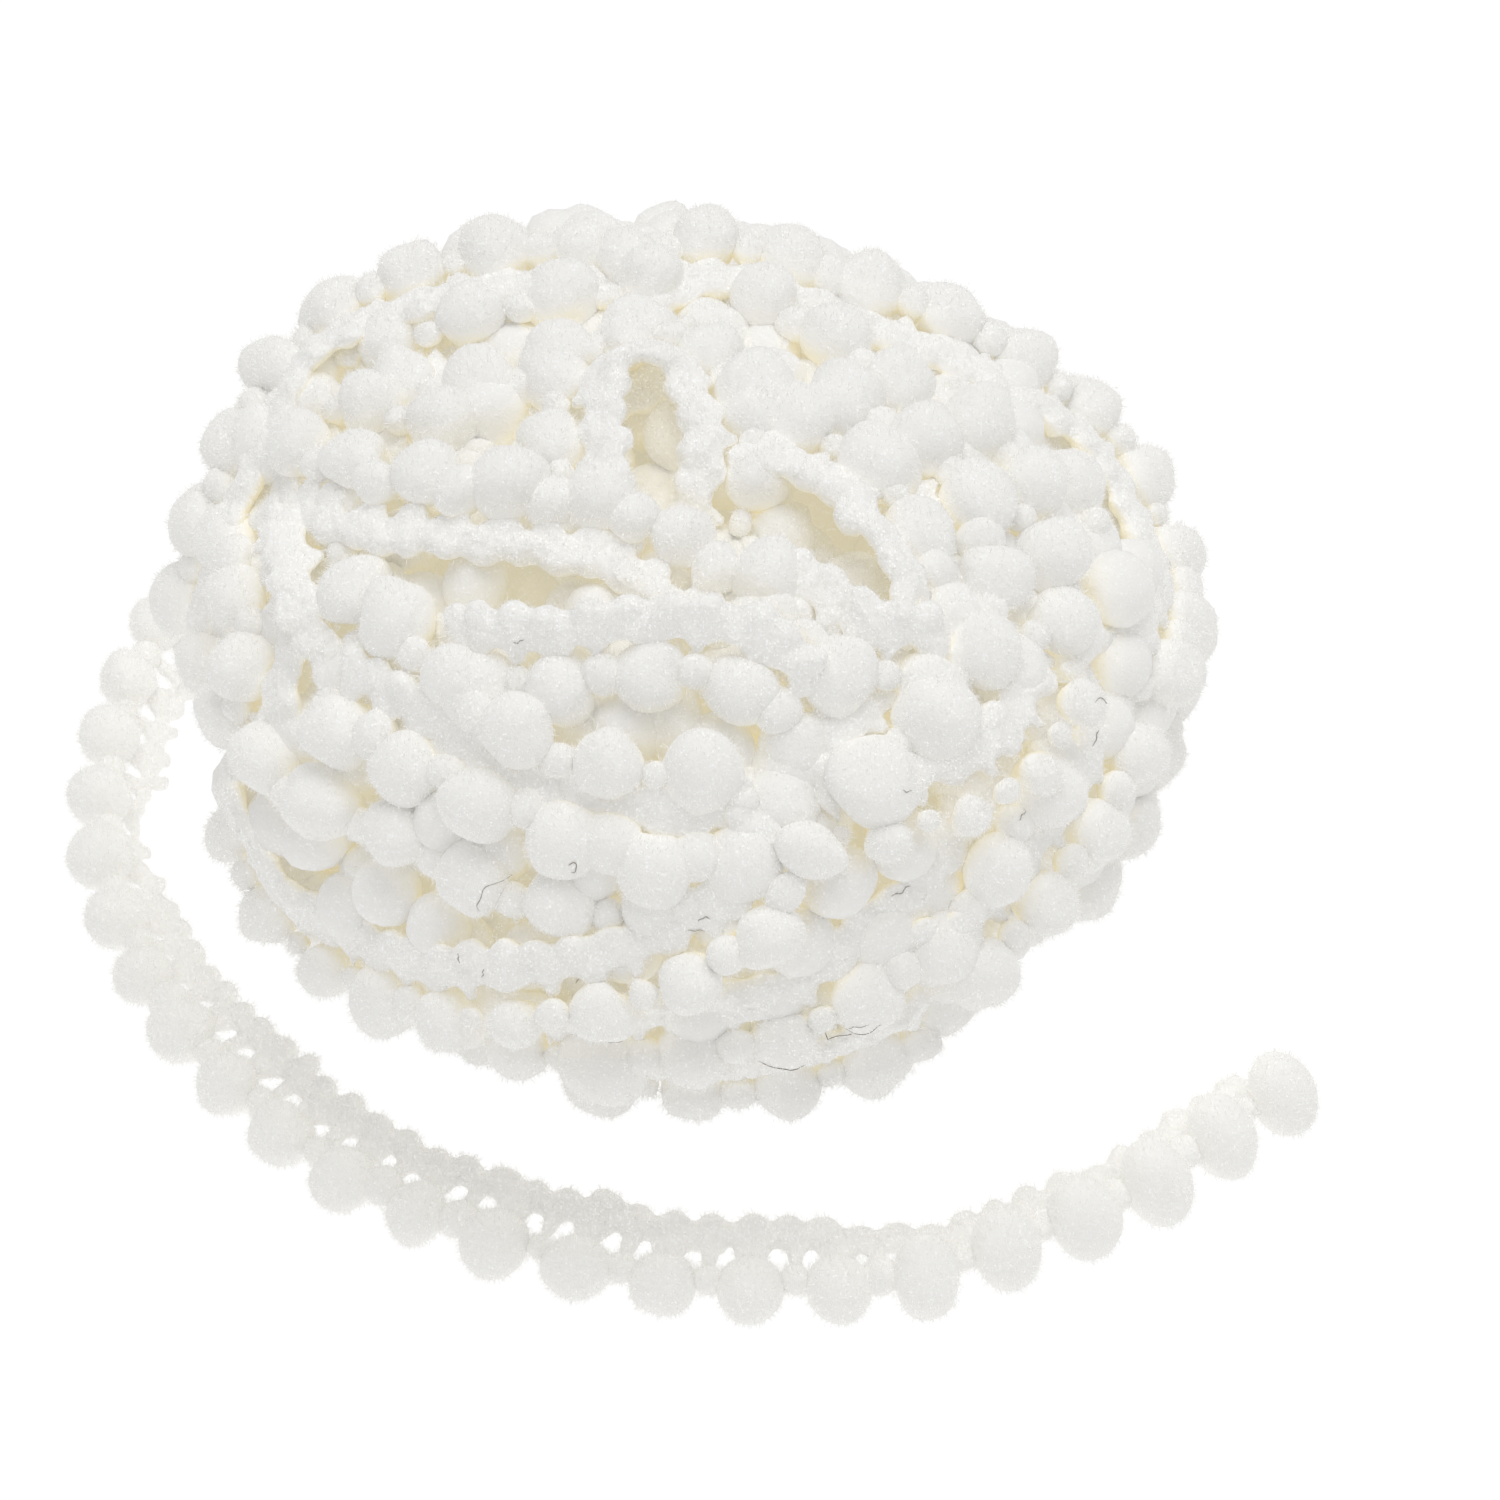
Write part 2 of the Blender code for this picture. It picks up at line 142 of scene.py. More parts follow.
ball = {
    "halfSize": (48.5, 48.5, 32.5),    # to the centres of the outermost pompoms
    "middle": (0.0, 0.0, 35.5),
    "floorGap": 0.05,
    "pressed": 0.97,           # how high the lowest pompoms are, against ones that aren't pressed
    # where the winding bulges or sinks: longitude, latitude, reach, height
    "swells": [(130, 15, 42, 4.0), (325, -45, 35, -2.5), (50, 35, 30, -1.0), (215, -25, 28, 2.5),
               (275, -35, 32, 1.5), (290, 82, 30, -2.0), (0, -90, 36, 3.0)],
}
halfSize = np.array(ball["halfSize"])
middle = np.array(ball["middle"])


def direction(longitude, latitude):    # a spot: the unit vector that names a place on the ball
    lon, lat = np.radians(longitude), np.radians(latitude)
    return np.stack([np.cos(lat) * np.cos(lon), np.cos(lat) * np.sin(lon), np.sin(lat)], axis=-1)


def outward(spots):                    # which way the ball faces there
    return unit(spots / halfSize)


def swellAt(spots):                    # how far the ball bulges there
    total = np.zeros(spots.shape[:-1])
    for longitude, latitude, reach, height in ball["swells"]:
        angle = np.degrees(np.arccos(np.clip(spots @ direction(longitude, latitude), -1, 1)))
        total += height * np.exp(-(angle / reach) ** 2)
    return total


def lifted(spots, lift):               # points over spots of the ball
    return middle + spots * halfSize + outward(spots) * (swellAt(spots) + lift)[..., None]


def spotUnder(points):                 # the spots whose outward directions pass through points
    arms = points - middle
    spots = unit(arms / halfSize)
    for _ in range(6):
        out = outward(spots)
        height = np.sum((arms - spots * halfSize) * out, axis=-1, keepdims=True)
        spots = unit((arms - out * height) / halfSize)
    return spots


def depthOf(points):                   # how far points lie below the tops of the outermost pompoms
    spots = spotUnder(points)
    height = np.sum((points - middle - spots * halfSize) * outward(spots), axis=-1)
    return swellAt(spots) + trim["pomRadius"] - height


# The rows that lie outermost: name, side of the braid (1 left, -1 right), pompom size, and stops
# of (longitude, latitude, lift, lean of the braid out of the ball's face).
outerRows = [
    ("rimLeft", -1, 1.0, [(179, 6, 1.5, -10), (172, 24, 2, -10), (155, 36, 3.5, -10),
                          (138, 50, 3, -10), (116, 59, 1.5, -15)]),
    ("rimBack", -1, 1.0, [(108, 63, 1, -20), (89, 60, 2, -20), (58, 56, 0.5, -20), (35, 44, 0, -20),
                          (20, 22, 0, -20), (2, 7, 0, -20), (347, 10, -0.5, -20)]),
    ("rimRight", -1, 1.03, [(334, 9, -1, -20), (323, 4, -0.5, -20), (312, 2, 0.5, -20),
                            (302, -2, 2, -20)]),
    ("shoulder", -1, 1.0, [(168, 29, 1, -40), (158, 40, 1, -40), (152, 54, 1, -40),
                           (136, 63, 1, -40), (104, 67, 0.5, -40)]),
    ("second", -1, 1.02, [(69, 68, 0, -50), (36, 68, 0, -50), (11, 64, 0, -50), (5, 56, 0, -50),
                          (357, 49, 0, -50), (345, 47, 0, -50), (340, 37, -1, -50),
                          (328, 38, 0, -50)]),
    ("inner", -1, 1.0, [(163, 52, -1, -40), (164, 66, -1, -40), (146, 72, 0, -40),
                        (98, 74, -0.5, -40)]),
    ("loop", -1, 0.95, [(224, 68, -1, 20), (199, 72.5, -0.5, 12), (160, 73, -0.5, 15),
                        (120, 76.5, 0, 25), (74, 81, -0.5, 20), (335, 82, -0.5, 15),
                        (305, 78, -1.5, 15)]),
    ("third", -1, 1.08, [(22, 83, 0, -30), (7, 72, 0, -30), (350, 58, 0, -30), (329, 47, 0, -30),
                         (317, 43, 1, -30), (304, 39, 1, -30), (294, 35, 1, -30)]),
    ("fold", -1, 1.03, [(355, 78, 0, 10), (341, 67, 0, 5), (330, 61, 0, 15), (324, 54, -1, 28),
                        (320, 49, -2, 30)]),
    ("deep", 1, 1.0, [(318, 84, -6, -40), (309, 71, -6, -40), (315, 63, -6, -40),
                      (313, 55, -5, -40)]),
    ("crossing", -1, 1.0, [(169, 31, 1, -15), (180, 45, 2, -15), (190, 53, 2, -15),
                           (203, 62, 2.5, -15), (219, 69, 2, -15), (244, 73, 1, -10),
                           (268, 70, 0.5, -5), (287, 65, 0, -5), (301, 55, -1, -5)]),
    ("ledge", -1, 1.0, [(165, 39, 0.5, -30), (170, 50, 0.5, -30), (178, 60, 0, -50)]),
    ("valley", 1, 1.0, [(285, 59, -1, 20), (295, 49, 1, 20), (307, 43, 0, 20)]),
    ("upright", -1, 0.95, [(189, 45, -1, 30), (206, 43, 0, 30)]),
    ("flank", 1, 1.0, [(181, 24, 1, -20), (199, 24, 1, -20), (201, 15, 0, -20)]),
    ("saddle", -1, 1.03, [(217, 45, 1, -30), (233, 44, 2, -30), (245, 41, 2, -30),
                          (256, 40, 1.5, -30), (267, 41, 1, -30), (277, 37, 0, -30)]),
    ("crest", 1, 1.0, [(235, 44, 0, 28), (248, 48, 0.5, 28), (259, 51, 1, 28), (275, 51, 1, 28),
                       (282, 46, 0, 28)]),
    ("spread", 1, 1.02, [(219, 28, 0, 0), (233, 30, 0, -5), (245, 30, 0, -5), (257, 28, 0, -5),
                         (268, 26, 0, -5), (276, 27, -1, -5)]),
    ("belly", -1, 1.0, [(190, 8, 0, -60), (211, 14, 0, -60), (221, 16, -0.5, -60),
                        (233, 19, -1.5, -60), (244, 18, -1.5, -60), (256, 18, -1.5, -60),
                        (265, 20, -2, -60)]),
    ("lowBand", 1, 0.9, [(205, -10, 0.5, -15), (215, -15.5, 1.5, -28), (221, -18, 1, -32),
                         (230, -15, 1, -38), (242, -8, 2, -38), (252, -1, 2.5, -32),
                         (262, 4, 2, -32), (271, 10, 1, -25), (279, 17, 1, -15),
                         (284, 28, 1, -10)]),
    ("skirt", 1, 1.03, [(249, -17, 0, -30), (259, -16, 0, -30), (270, -11, 0, -30),
                        (281, -8, 0, -30), (292, 1, 0, -30), (301, 6, 0, -30), (308, 16, 0, -30),
                        (316, 21, 0, -30)]),
    ("waist", 1, 0.62, [(293, 27, 2, -15), (301, 26, 2, -20), (309, 25, 2, -20),
                        (317, 26, 2, -22), (325, 29, 2, -25)]),
    ("hem", 1, 1.03, [(258, -28, 0.5, -30), (265, -28, 0.5, -30), (275, -27, 1, -30),
                      (286, -25, 1.5, -30), (297, -22, 2, -30)]),
]

# Turns that cover the rest: latitude, tilt, toward, lift.
outerTurns = [(-14, 8, 100, 0.5), (3, 7, 60, -1.5), (20, 7, 120, -2), (36, 6, 80, -3),
              (50, 6, 20, -3), (64, 5, 100, -3), (78, 3, 60, -3.5), (-30, 6, 40, 0),
              (-45, 5, 130, 0), (-59, 3, 70, 0), (-72, 2, 70, 0)]

winding = {
    "tuck": 8.7,               # how far a row runs on, down under its neighbours
    "tuckDepth": 7.5,
    "squeeze": 0.84,           # crossing rows press into each other
    "deepest": 6.5,            # a row is cut where it would sink further than this
    "shortest": 8,             # and a stretch of no more steps than this is left out
    "sinkReach": 4,            # steps beside a crossing that sink with it
    "under": 7.0,              # trim that lies this far below a row doesn't hold it up
    # radii of the balls that stand for the braid above, for a laid braid and for a laid knob
    "braidAbove": 1.3,
    "braidBall": 1.9,
    "knobBall": 2.2,
    "braidShade": 6.0,         # where that ball lies beside a row when shade is worked out
    "leanWander": 7,           # degrees
    "turnLean": -20.0,         # of the turns that cover the rest
    "turnWander": 0.8,
    "turnSteps": 3.0,          # degrees
}


def extended(stops):                   # a row's curve in space, run on at both ends and tucked in
    stops = np.asarray(stops, float)
    points = lifted(direction(stops[:, 0], stops[:, 1]), stops[:, 2])
    curve = smoothRoute(np.column_stack([points, stops[:, 3]]))
    ends = []
    for here, before in ((curve[0], curve[4]), (curve[-1], curve[-5])):
        step = unit(here[:3] - before[:3])
        for part in (0.5, 1.0):
            place = here[:3] + step * winding["tuck"] * part
            out = outward(spotUnder(place))
            down = depthOf(place) - depthOf(here[:3])
            place = place + out * (down - winding["tuckDepth"] * part ** 1.3)
            ends.append(np.append(place, here[3] * (1 - 0.5 * part)))
    return np.vstack([ends[1], ends[0], curve, ends[2], ends[3]]), curve


def stationsOf(curve, startsAt, length):      # steps along a row, with a pompom where a place is 0
    steps = trim["stepsPerPitch"]
    halves = max(1, round(length / (trim["pitch"] / 2)))
    spacing = length / halves / (steps / 2)
    before = int(startsAt / spacing)
    count = int((reachedAlong(curve)[-1] - startsAt) / spacing)
    distances = startsAt + np.arange(-before, count + 1) * spacing
    places = np.arange(-before, count + 1) % steps
    rows = readAt(curve, distances)
    return rows[:, :3], rows[:, 3], places, spacing


def besideOf(points, lean, side):      # the braid's direction, and that of its upper face
    out = outward(spotUnder(points))
    along = headings(points)
    across = unit(np.cross(out, along)) * side
    tilt = np.radians(lean)[:, None]
    beside = across * np.cos(tilt) + out * np.sin(tilt)
    face = unit(out * np.cos(tilt) - across * np.sin(tilt))
    return beside, face


def sinkUnder(points, beside, laid, laidRadius):      # how far each point has to go down
    out = outward(spotUnder(points))
    sink = np.zeros(len(points))
    braidMiddle = (trim["braidInner"] + trim["braidOuter"]) / 2
    for offset, radius in ((0.0, trim["pomRadius"]), (braidMiddle, winding["braidAbove"])):
        arms = laid[None] - (points + beside * offset)[:, None]
        rise = np.einsum("ijk,ik->ij", arms, out)
        apart = np.sum(arms ** 2, axis=2) - rise ** 2
        need = (winding["squeeze"] * (laidRadius + radius))[None] ** 2 - apart
        lower = np.sqrt(np.maximum(need, 0)) - rise
        lower[(need <= 0) | (rise < -winding["under"])] = 0
        sink = np.maximum(sink, lower.max(axis=1))
    reach = winding["sinkReach"]
    wide = np.array([sink[max(0, i - reach):i + reach + 1].max() for i in range(len(sink))])
    return np.maximum(smoothed(wide, 3), 0)


# A row is laid as strips, and balls that stand for them go into laid, for the rows that go under.
def layRow(name, side, size, curve, startsAt, length, strips, laid, goesUnder):
    points, lean, places, spacing = stationsOf(curve, startsAt, length)
    count = len(points)
    lean = lean + wander(count, 9, winding["leanWander"])
    beside, face = besideOf(points, lean, side)
    keep = np.ones(count, bool)
    if goesUnder:
        sink = sinkUnder(points, beside, np.vstack(laid[0]), np.concatenate(laid[1]))
        keep = sink < winding["deepest"]
        points = points - outward(spotUnder(points)) * sink[:, None]
        beside, face = besideOf(points, lean, side)
    low = (trim["pomRadius"] + ball["floorGap"]) * ball["pressed"]
    points[:, 2] = np.maximum(points[:, 2], low)
    edges = np.flatnonzero(np.diff(np.concatenate([[0], keep.astype(int), [0]])))
    for first, last in zip(edges[::2], edges[1::2]):
        if last - first > winding["shortest"]:
            part = slice(first, last)
            strips.append({"name": name, "size": size, "points": points[part], "face": face[part],
                           "beside": beside[part], "places": places[part], "spacing": spacing})
            braid = points[part] + beside[part] * (trim["braidInner"] + trim["braidOuter"]) / 2
            laid[0] += [points[part][::3], braid[::3]]
            laid[1] += [np.where(places[part][::3] == 0, trim["pomRadius"], winding["knobBall"]),
                        np.full(len(braid[::3]), winding["braidBall"])]


def turnCurve(latitude, tilt, toward, lift):      # a plain turn round the ball, tilted
    bearings = np.arange(0, 366, winding["turnSteps"]) + toward
    lats = latitude + tilt * np.cos(np.radians(bearings - toward))
    lifts = lift + wander(len(bearings), 4, winding["turnWander"])
    points = lifted(direction(bearings, lats), lifts)
    return np.column_stack([points, np.full(len(bearings), winding["turnLean"])])


def windBall():
    strips = []
    laid = [[], []]
    for name, side, size, stops in outerRows:
        whole, core = extended(stops)
        startsAt = reachedAlong(whole[:3])[-1]
        layRow(name, side, size, whole, startsAt, reachedAlong(core)[-1], strips, laid, False)
    for i, turn in enumerate(outerTurns):
        curve = turnCurve(*turn)
        layRow("turn" + str(i), -1, 1.0, curve, 0.0, reachedAlong(curve)[-1], strips, laid, True)
    return strips, laid


# ---- meshes

def quadSphere(n):                     # a cube's grid of quads blown up to a unit sphere
    points, faces, known = [], [], {}
    for axis in range(3):
        for end in (0, n):
            grid = {}
            for i in range(n + 1):
                for j in range(n + 1):
                    key = [0, 0, 0]
                    key[axis], key[(axis + 1) % 3], key[(axis + 2) % 3] = end, i, j
                    key = tuple(key)
                    if key not in known:
                        known[key] = len(points)
                        points.append([math.tan((2 * k / n - 1) * math.pi / 4) for k in key])
                    grid[i, j] = known[key]
            for i in range(n):
                for j in range(n):
                    quad = [grid[i, j], grid[i + 1, j], grid[i + 1, j + 1], grid[i, j + 1]]
                    faces.append(quad if end else quad[::-1])
    return unit(np.array(points)), np.array(faces)


def blobs(centres, axes, radii, detail, lumps):      # lumpy ellipsoids, with their own normals
    directions, quads = quadSphere(detail)
    count, size, waves = len(centres), len(directions), trim["waves"]
    rates = trim["waveRates"]
    ways = unit(dice.normal(0, 1, (count, waves, 3))) * dice.uniform(*rates, (count, waves, 1))
    phases = dice.uniform(0, 2 * math.pi, (count, waves, 1))
    swing = np.cos(np.einsum("cwk,vk->cwv", ways, directions) + phases).mean(axis=1)
    local = directions[None] * (1 + lumps * swing * math.sqrt(waves))[..., None]
    points = centres[:, None] + np.einsum("cva,cab->cvb", local * radii[:, None], axes)
    normals = unit(np.einsum("cva,cab->cvb", directions[None] / radii[:, None], axes))
    faces = (quads[None] + np.arange(count)[:, None, None] * size).reshape(-1, 4)
    return points.reshape(-1, 3), faces, normals.reshape(-1, 3)


def joined(parts):                     # several (points, faces, normals) as one
    points, faces, start = [], [], 0
    for part in parts:
        points.append(part[0])
        if isinstance(part[1], list):
            faces += [[corner + start for corner in face] for face in part[1]]
        else:
            faces += (part[1] + start).tolist()
        start += len(part[0])
    return np.vstack(points), faces, np.vstack([part[2] for part in parts])


def turned(along, beside, face, degrees):      # axes turned about a braid's face
    cosine, sine = math.cos(math.radians(degrees)), math.sin(math.radians(degrees))
    return np.stack([along * cosine + beside * sine, beside * cosine - along * sine, face], axis=1)


def blobsOnStrip(strip, kind):         # centres, axes and radii of a strip's pompoms, knobs or necks
    atPompom = kind in ("pompom", "pomNeck")
    at = np.flatnonzero(strip["places"] == (0 if atPompom else trim["stepsPerPitch"] // 2))
    count = len(at)
    beside, face = strip["beside"][at], strip["face"][at]
    along = np.cross(beside, face)
    turn = aside = 0
    if kind == "pompom":
        shift, radii = 0.0, trim["pomRadius"] * np.array(trim["pomShape"])
    elif kind == "knob":
        shift, radii = trim["knobShift"], trim["knobRadius"] * np.array(trim["knobShape"])
        if strip["name"] in cordRows:
            shift, radii = shift + trim["cordKnob"][0], radii * trim["cordKnob"][1]
    else:
        shift, radii, turn, aside = trim["ties"][kind]
    axes = turned(along, beside, face, turn)
    squashed = trim["squashed"] * strip.get("squash", 1)
    radii = radii * (1 + dice.normal(0, squashed, (count, 3)))
    if kind in ("pompom", "knob"):
        spread = trim["pomSpread"] if kind == "pompom" else trim["knobSpread"]
        radii = radii * strip["size"] * (1 + dice.normal(0, spread, (count, 1)).clip(-0.25, 0.4))
    if kind == "pompom" and "tall" in strip:
        radii[:, 2] *= strip["tall"][at]
    centres = strip["points"][at] + beside * shift + along * aside
    if kind == "knob":
        centres = centres + face * dice.normal(*trim["knobRise"], (count, 1))
    return centres, axes, radii


def gather(strips, kind):
    found = [blobsOnStrip(strip, kind) for strip in strips]
    return [np.concatenate(column) for column in zip(*found)]


# The chenille paints shade and light from this value: a warm colour and a glow.
def shutIn(points, normals, centres, radii):      # how far each point is shut in by the trim near it
    shut = np.zeros(len(points))
    for start in range(0, len(points), 3000):
        part = slice(start, start + 3000)
        arms = centres @ points[part].T
        squared = (centres ** 2).sum(axis=1)[:, None] + (points[part] ** 2).sum(axis=1) - 2 * arms
        distance = np.sqrt(np.maximum(squared, radii[:, None] ** 2))
        facing = centres @ normals[part].T - (points[part] * normals[part]).sum(axis=1)
        shut[part] = (np.maximum(facing, 0) * radii[:, None] ** 2 / distance ** 3).sum(axis=0)
    return shut


def softNormals(points, centres, radii):      # where pompoms touch, their piles run together
    normals = np.zeros(points.shape)
    for start in range(0, len(points), 3000):
        near = points[start:start + 3000]
        squared = (near ** 2).sum(axis=1)[:, None] + (centres ** 2).sum(axis=1) - 2 * near @ centres.T
        distance = np.sqrt(np.maximum(squared, 0.01))
        weight = np.exp(-np.clip((distance - radii) / trim["runTogether"], -2, 20)) / distance
        normals[start:start + 3000] = near * weight.sum(axis=1)[:, None] - weight @ centres
    return unit(normals)


def fused(parts, voxel):               # closed meshes melted into one soft skin
    points, faces, _ = joined(parts)
    mesh = bpy.data.meshes.new("fusing")
    mesh.from_pydata(points.tolist(), [], faces)
    holder = bpy.data.objects.new("fusing", mesh)
    bpy.context.scene.collection.objects.link(holder)
    remesh = holder.modifiers.new("remesh", "REMESH")
    remesh.mode = "VOXEL"
    remesh.voxel_size = voxel
    smooth = holder.modifiers.new("smooth", "SMOOTH")
    smooth.factor = 0.5
    smooth.iterations = 1
    bpy.context.view_layer.update()
    shell = holder.evaluated_get(bpy.context.evaluated_depsgraph_get()).to_mesh()
    count = len(shell.vertices)
    skin, normals = np.empty(count * 3, np.float32), np.empty(count * 3, np.float32)
    shell.vertices.foreach_get("co", skin)
    shell.vertices.foreach_get("normal", normals)
    quads = np.empty(len(shell.polygons) * 4, np.int32)
    shell.polygons.foreach_get("vertices", quads)
    bpy.data.objects.remove(holder)
    bpy.data.meshes.remove(mesh)
    return skin.reshape(-1, 3).astype(float), quads.reshape(-1, 4), normals.reshape(-1, 3)


def pomRow(strips, where):             # pompoms and knobs, and the balls that stand for them
    rows = [gather(strips, "pompom"), gather(strips, "knob")]
    balls = [(row[0], row[2].mean(axis=1)) for row in rows]
    lumps = trim["lumps"][where]
    parts = [blobs(*row, detail, lumps) for row, detail in zip(rows, trim["detail"][where])]
    return parts, balls


def addPiece(name, points, faces, material, node, shut):      # in place of a node of the frame
    mesh = bpy.data.meshes.new(name)
    faces = faces if isinstance(faces, list) else faces.tolist()
    mesh.from_pydata((points * metre).tolist(), [], faces)
    # how shut in each point is: the chenille paints its shade and glow from it
    layer = mesh.attributes.new("shut", "FLOAT", "POINT")
    layer.data.foreach_set("value", np.asarray(shut, np.float32))
    mesh.shade_smooth()
    mesh.materials.append(material)
    piece = bpy.data.objects.new(name, mesh)
    bpy.context.scene.collection.objects.link(piece)
    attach(piece, "root")
    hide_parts(node)
    report(name, sum(len(face) - 2 for face in faces), "triangles")
    return piece


def dressing(name, parts, balls, shading, finish, node):      # a soft piece, and what its pile needs
    points, faces, normals = joined(parts)
    if balls:
        normals = softNormals(points, *[np.concatenate(column) for column in zip(*balls)])
    shut = shutIn(points, normals, *shading)
    return addPiece(name, points, faces, finish, node, shut), points, normals, shut


def edgePearls(strip):                 # along the scalloped edge
    return blobs(*stitchRow(strip, *trim["pearls"]), trim["detail"]["pearls"], trim["lumps"]["pearls"])


def softBraid(strip, voxel):           # web, stitches, ties and pearls melted into one soft skin
    detail, lumps = trim["detail"], trim["lumps"]["stitches"]
    parts = [braidMesh(strip)]
    for row in trim["stitches"]:
        parts.append(blobs(*stitchRow(strip, *row), detail["stitches"], lumps))
    onCord = strip["name"] in cordRows
    for kind in ("pomNeck", "leftStrand", "rightStrand") if onCord else ("pomNeck", "knobNeck"):
        found = blobsOnStrip(strip, kind)
        if len(found[0]):
            parts.append(blobs(*found, detail["ties"], lumps))
    if strip["name"] not in openRows:
        inner = stitchRow(strip, *trim["innerStitches"])
        parts.append(blobs(*inner, detail["stitches"], lumps))
    parts.append(edgePearls(strip))
    return [fused(parts, voxel)]


def plainBraid(strip):                 # a braid behind or below
    return [braidMesh(strip), edgePearls(strip)]


def braidMesh(strip):                  # a flat lumpy band, closed at both ends
    points, beside, face = strip["points"], strip["beside"], strip["face"]
    count = len(points)
    start = trim["braidInner"] + (trim["openBy"] if strip["name"] in openRows else 0)
    drift = trim["braidDrift"]
    inner = (start + wander(count, *drift["inner"]))[:, None]
    outer = (trim["braidOuter"] + wander(count, *drift["outer"]))[:, None]
    parts = np.array([0, 0.06, 0.2, 0.35, 0.5, 0.65, 0.8, 0.94, 1, 0.85, 0.6, 0.4, 0.15])
    upper = np.array([1] * 9 + [-1] * 4)
    body = np.sqrt(np.maximum(1 - np.abs(2 * parts - 1) ** 4, 0)) * upper
    half = np.stack([trim["braidHalf"] * (1 + wander(count, *drift["thickness"])) for _ in parts],
                    axis=1)
    ends = np.minimum(np.arange(count), np.arange(count)[::-1])
    height = half * body * np.clip(0.35 + ends / 2, 0, 1)[:, None]
    across = inner + (outer - inner) * parts
    corners = points[:, None] + beside[:, None] * across[..., None] + face[:, None] * height[..., None]

    sides = len(parts)
    i, j = np.meshgrid(np.arange(count - 1), np.arange(sides), indexing="ij")
    k = (j + 1) % sides
    quads = np.stack([i * sides + j, i * sides + k, (i + 1) * sides + k, (i + 1) * sides + j], -1)
    caps = [list(range(sides))[::-1], list(range((count - 1) * sides, count * sides))]
    middle = points + beside * (inner + outer) / 2
    normals = unit(corners - middle[:, None]).reshape(-1, 3)
    return corners.reshape(-1, 3), quads.reshape(-1, 4).tolist() + caps, normals


def stitchRow(strip, pitch, shift, rise, radii, turn):      # centres, axes and radii
    reached = reachedAlong(strip["points"] + strip["beside"] * shift)
    count = max(1, round(reached[-1] / pitch))
    steps = (np.arange(count) + 0.5) * reached[-1] / count
    at = np.minimum(np.searchsorted(reached, steps), len(reached) - 1)
    beside, face = strip["beside"][at], strip["face"][at]
    axes = turned(np.cross(beside, face), beside, face, turn)
    radii = np.array(radii) * dice.uniform(*trim["stitchSizes"], (count, 3))
    strayAcross, strayUp = trim["stitchStrays"]
    shift = shift + dice.normal(0, strayAcross, (count, 1))
    rise = rise + dice.normal(0, strayUp, (count, 1))
    return strip["points"][at] + beside * shift + face * rise, axes, radii


pileFibre = {
    "length": 0.75,
    "spread": (0.5, 1.2),      # shortest and longest, against that length
    "width": 0.07,             # a bundle of fibres: one alone, 0.01 wide, is too fine to show
    "lean": 0.4,
    "strays": 0.35,            # how far a fibre stands from its point of the surface
    "rooted": 0.1,             # and how deep its foot is in it
}


def pile(points, normals, perPoint):      # short fibres that stand on a surface, a triangle each
    count = int(len(points) * perPoint)
    at = dice.integers(0, len(points), count)
    lean = unit(normals[at] + dice.normal(0, pileFibre["lean"], (count, 3)))
    aside = unit(np.cross(lean, dice.normal(0, 1, (count, 3)))) * pileFibre["width"] / 2
    root = points[at] + dice.normal(0, pileFibre["strays"], (count, 3))
    root = root - normals[at] * np.sum((root - points[at]) * normals[at], axis=1, keepdims=True)
    root = root - lean * pileFibre["rooted"]
    long = pileFibre["length"] * dice.uniform(*pileFibre["spread"], (count, 1))
    corners = np.stack([root - aside, root + aside, root + lean * long], axis=1)
    return at, corners.reshape(-1, 3), np.arange(count * 3).reshape(-1, 3)


def addPile(name, points, normals, shut, perPoint, finish, node):
    at, corners, faces = pile(points, normals, perPoint)
    return addPiece(name, corners, faces, finish, node, np.repeat(shut[at], 3))


# ---- materials

def colour(hexCode):                   # sRGB hex to linear
    parts = [int(hexCode[i:i + 2], 16) / 255 for i in (1, 3, 5)]
    linear = [p / 12.92 if p <= 0.04045 else ((p + 0.055) / 1.055) ** 2.4 for p in parts]
    return (*linear, 1.0)


def addNode(tree, kind, settings=(), links=()):
    node = tree.nodes.new(kind)
    for key, value in dict(settings).items():
        if isinstance(key, int) or key in node.inputs:
            node.inputs[key].default_value = value
        else:
            setattr(node, key, value)
    for key, source in dict(links).items():
        tree.links.new(source, node.inputs[key])
    return node


def newMaterial(name):
    material = bpy.data.materials.new(name)
    material.use_nodes = True
    material.node_tree.nodes.clear()
    return material, material.node_tree


chenille = {
    "surface": "#fbfaf7",      # bleached microfibre, neutral white
    "deep": "#ecdfb6",         # painted shade: light that has come through pile on pile is warm, laid on as colour where it is shut in
    "softFrom": 0.6,           # how shut in a place is where painted light from the fibres fills it
    "softTo": 2.6,
    "paintedDeepFrom": 2.2,           # and where the painted warm shade and the deep painted glow begin
    "paintedDeepTo": 6.6,
    # painted light, as emission: the light that comes back out of the pile, in the open, between pompoms
    # and in deep places
    "glow": {"pompoms": [(0.034, 0.034, 0.034), (0.1, 0.098, 0.088), (0.265, 0.241, 0.158)],
             "braid": [(0.046, 0.046, 0.046), (0.1, 0.098, 0.09), (0.255, 0.232, 0.153)],
             # a single row on bright paper, which lights it from below: its painted light is brighter
             "loose": [(0.062, 0.062, 0.061), (0.13, 0.128, 0.121), (0.26, 0.238, 0.165)]},
    # painted glints: how strongly each sparkle glows
    "sparkleGlow": 0.31,
    "grain": 0.22,             # clumps of fibre ends: a single end, 0.01, is too fine to show
    "grainShade": 0.95,        # how dark the hollows of the grain are
    "tuft": 1.5,               # the pile's slow unevenness
    "knots": 1.2,              # crumbly stitches of the braid
    # how strong each bump is, and how high
    "bumps": {"grain": (0.55, 0.16), "tuft": (0.6, 0.25), "knots": (0.8, 0.3)},
    "sparkle": 0.24,           # between places where a painted glint of a bright filament may show
    "sparkleSize": 0.3,        # how much of such a place it fills
    "sparkleShare": {"pompoms": 0.16, "braid": 0.4},      # and in how many it shows
}


